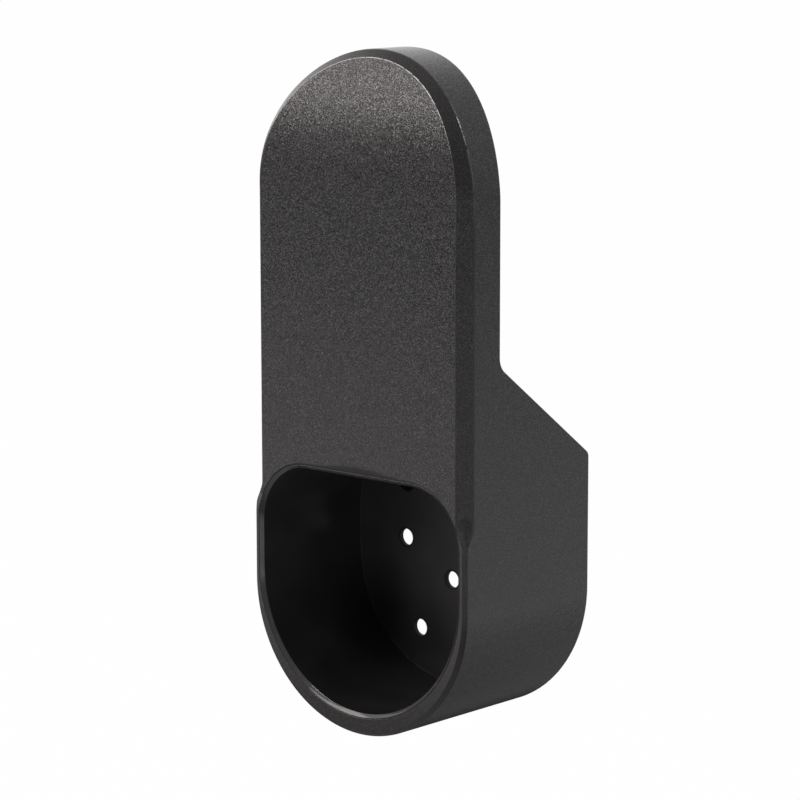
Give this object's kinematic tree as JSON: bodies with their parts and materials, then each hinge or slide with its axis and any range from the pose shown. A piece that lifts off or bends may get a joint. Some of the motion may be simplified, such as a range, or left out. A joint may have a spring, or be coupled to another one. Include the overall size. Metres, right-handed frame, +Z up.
{
  "type": "ev connector holder",
  "caption": "Wall holder for a vehicle charging plug: a flat-topped cup under a tall rounded plate that curves back at the top, with a sloping saddle behind it for the coiled cable.",
  "frame": {"origin": "on the wall plane, midway between the two wall screws", "axes": "+X to the right seen from the front, +Y into the wall, +Z up; the front looks along -Y"},
  "size_m": [0.07, 0.0464, 0.1675],
  "materials": {
    "holder": "anthracite plastic with a fine spark-eroded grain outside and a polished cup"
  },
  "bodies": {
    "root": {"holder": "holder"}
  },
  "joints": []
}
